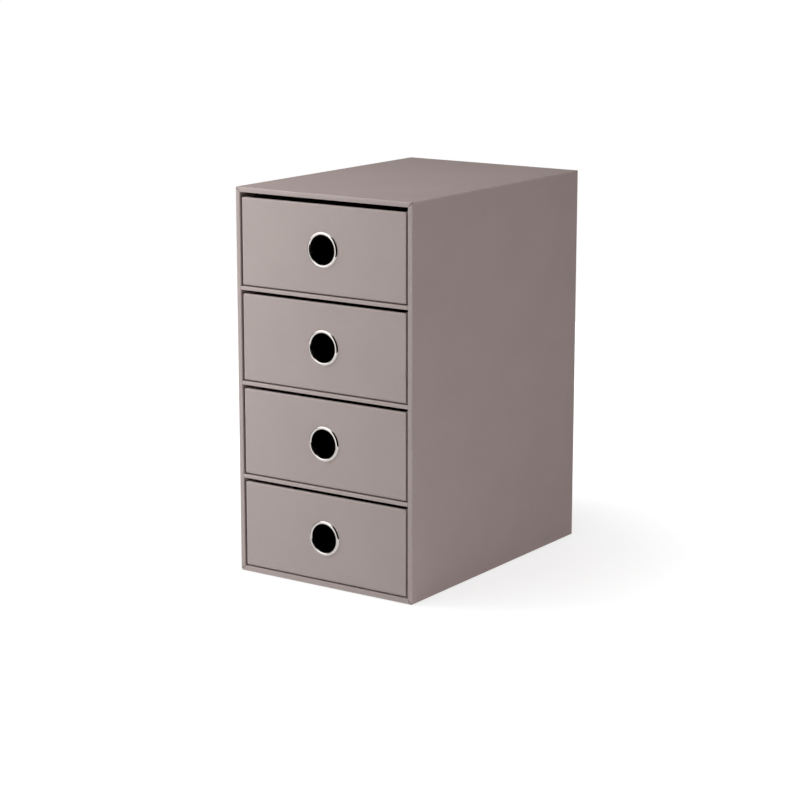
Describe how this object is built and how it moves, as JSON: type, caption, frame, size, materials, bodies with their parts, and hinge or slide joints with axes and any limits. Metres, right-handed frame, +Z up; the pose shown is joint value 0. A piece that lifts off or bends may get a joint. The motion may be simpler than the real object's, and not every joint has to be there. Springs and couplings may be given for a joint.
{
  "type": "desktop mini drawers",
  "caption": "Desktop box of paper-covered board with drawers one above the other, each pulled out by a round metal eyelet in its face.",
  "frame": {"origin": "centre of the underside, on the surface that the box stands on", "axes": "+Z up; -Y out of the front, the way the drawers pull out; +X to the right of someone who faces the drawers"},
  "size_m": [0.134, 0.1955, 0.25],
  "materials": {
    "cover_paper": "matt",
    "lining_paper": "matt",
    "grey_board": "raw",
    "eyelet_metal": "polished nickel plate",
    "washer_steel": "satin"
  },
  "bodies": {
    "case": {"case_left_board": "grey_board", "case_right_board": "grey_board", "case_top_board": "grey_board", "case_base_board": "grey_board", "case_back_board": "grey_board", "case_cover_paper": "cover_paper", "case_base_paper": "cover_paper", "case_back_paper": "cover_paper", "case_lining": "lining_paper", "shelf_1_board": "grey_board", "shelf_1_paper": "cover_paper", "shelf_2_board": "grey_board", "shelf_2_paper": "cover_paper", "shelf_3_board": "grey_board", "shelf_3_paper": "cover_paper"},
    "drawer_1": {"drawer_1_front_board": "grey_board", "drawer_1_back_board": "grey_board", "drawer_1_left_board": "grey_board", "drawer_1_right_board": "grey_board", "drawer_1_base_board": "grey_board", "drawer_1_cover_paper": "cover_paper", "drawer_1_base_paper": "cover_paper", "drawer_1_lining": "lining_paper", "drawer_1_eyelet": "eyelet_metal", "drawer_1_washer": "washer_steel"},
    "drawer_2": {"drawer_2_front_board": "grey_board", "drawer_2_back_board": "grey_board", "drawer_2_left_board": "grey_board", "drawer_2_right_board": "grey_board", "drawer_2_base_board": "grey_board", "drawer_2_cover_paper": "cover_paper", "drawer_2_base_paper": "cover_paper", "drawer_2_lining": "lining_paper", "drawer_2_eyelet": "eyelet_metal", "drawer_2_washer": "washer_steel"},
    "drawer_3": {"drawer_3_front_board": "grey_board", "drawer_3_back_board": "grey_board", "drawer_3_left_board": "grey_board", "drawer_3_right_board": "grey_board", "drawer_3_base_board": "grey_board", "drawer_3_cover_paper": "cover_paper", "drawer_3_base_paper": "cover_paper", "drawer_3_lining": "lining_paper", "drawer_3_eyelet": "eyelet_metal", "drawer_3_washer": "washer_steel"},
    "drawer_4": {"drawer_4_front_board": "grey_board", "drawer_4_back_board": "grey_board", "drawer_4_left_board": "grey_board", "drawer_4_right_board": "grey_board", "drawer_4_base_board": "grey_board", "drawer_4_cover_paper": "cover_paper", "drawer_4_base_paper": "cover_paper", "drawer_4_lining": "lining_paper", "drawer_4_eyelet": "eyelet_metal", "drawer_4_washer": "washer_steel"}
  },
  "joints": [
    {"name": "drawer_1_slide", "type": "slide", "parent": "case", "child": "drawer_1", "axis": [0, -1, 0], "range_m": [0, 0.15]},
    {"name": "drawer_2_slide", "type": "slide", "parent": "case", "child": "drawer_2", "axis": [0, -1, 0], "range_m": [0, 0.15]},
    {"name": "drawer_3_slide", "type": "slide", "parent": "case", "child": "drawer_3", "axis": [0, -1, 0], "range_m": [0, 0.15]},
    {"name": "drawer_4_slide", "type": "slide", "parent": "case", "child": "drawer_4", "axis": [0, -1, 0], "range_m": [0, 0.15]}
  ]
}
